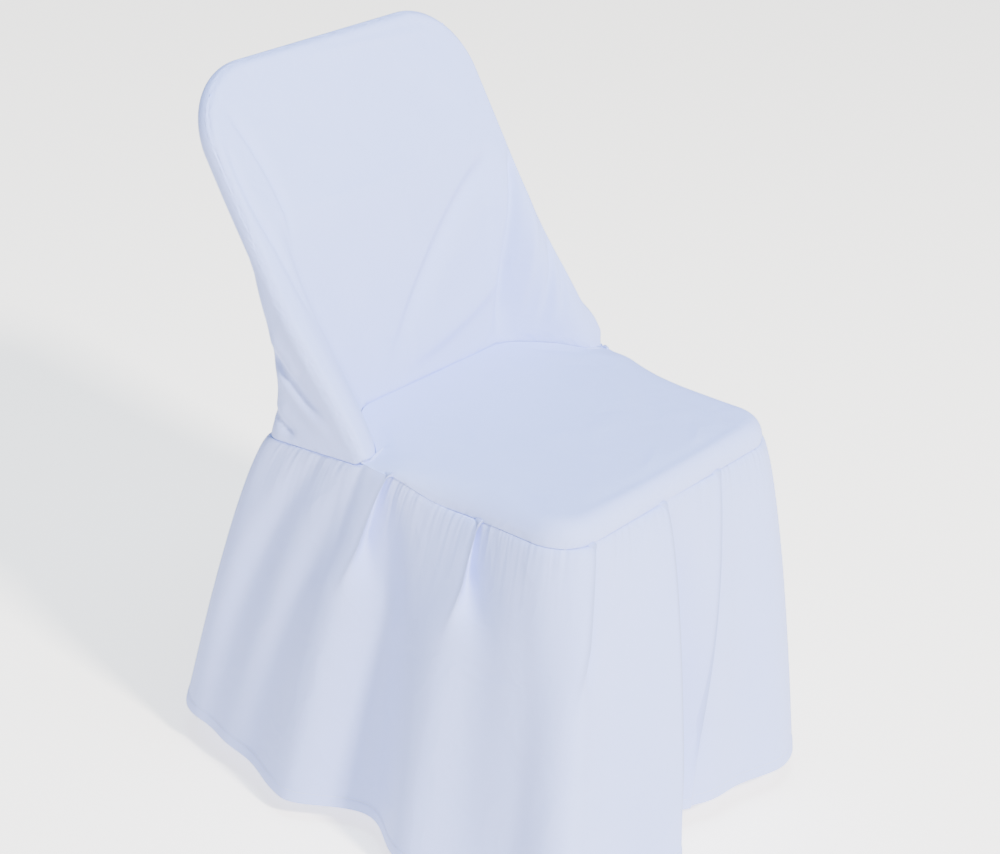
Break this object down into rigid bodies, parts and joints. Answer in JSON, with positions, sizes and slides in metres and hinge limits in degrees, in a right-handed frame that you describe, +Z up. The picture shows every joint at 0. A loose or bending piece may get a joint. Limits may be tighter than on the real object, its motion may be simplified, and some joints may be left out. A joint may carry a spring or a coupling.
{
  "type": "fitted chair cover",
  "caption": "Fitted cloth cover for a folding chair: leaning pocket back with rounded corners, rolled seat panel and a flared pleated skirt down to the floor.",
  "frame": {"origin": "under the cloth at the middle of the back's top edge, where the chair holds the cover up", "axes": "+Z up, -Y to the front of the seat, +X across the back"},
  "size_m": [0.5615, 0.6308, 0.7852],
  "materials": {
    "cloth": "matte"
  },
  "bodies": {
    "root": {"inside_back": "cloth", "outside_back": "cloth", "seat": "cloth", "skirt": "cloth"}
  },
  "joints": []
}
